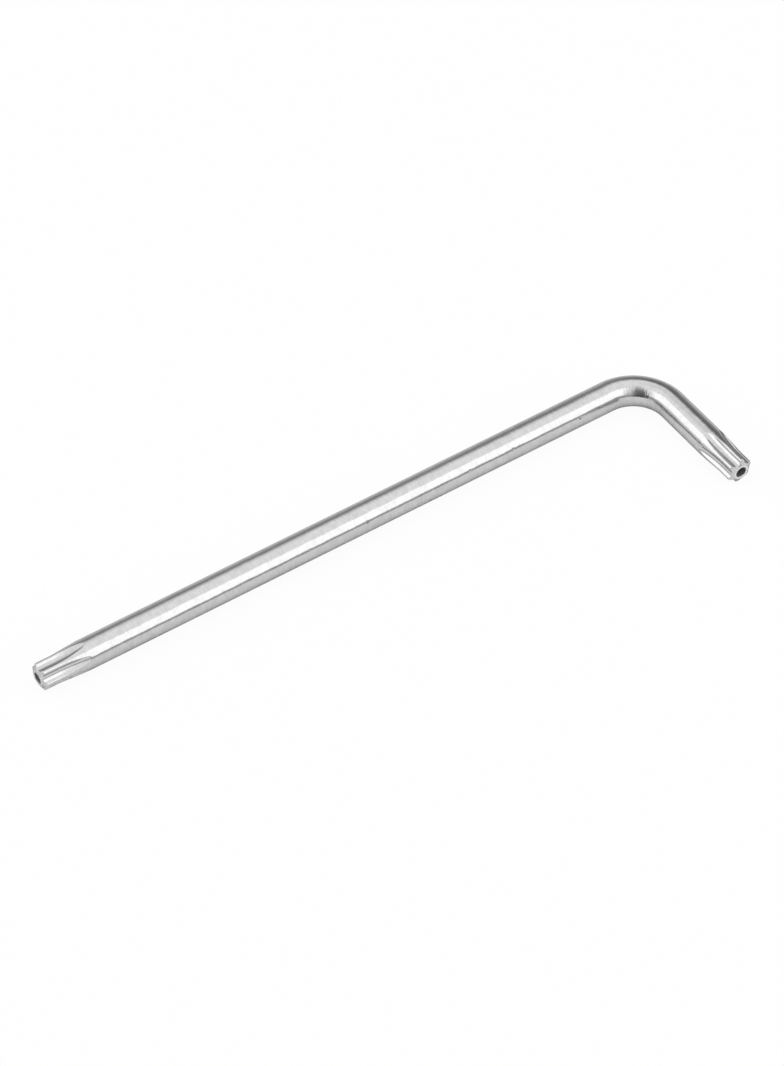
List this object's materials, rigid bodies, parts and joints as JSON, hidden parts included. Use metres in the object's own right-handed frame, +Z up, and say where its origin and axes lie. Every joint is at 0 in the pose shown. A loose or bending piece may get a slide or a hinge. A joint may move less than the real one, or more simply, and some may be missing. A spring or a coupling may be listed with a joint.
{
  "type": "star-drive key",
  "caption": "Bent round steel key with a long and a short arm, each ending in a lobed star with a pin hole, for star-drive screws.",
  "frame": {"origin": "centre of the key's footprint, on the surface it lies on", "axes": "+X along the long arm towards the bend, +Y away from the short arm's star, +Z up; both arms lie in the horizontal plane"},
  "size_m": [0.14, 0.034, 0.006],
  "materials": {
    "steel": "satin bright nickel plating on hardened tool steel"
  },
  "bodies": {
    "root": {"star_key": "steel"}
  },
  "joints": []
}
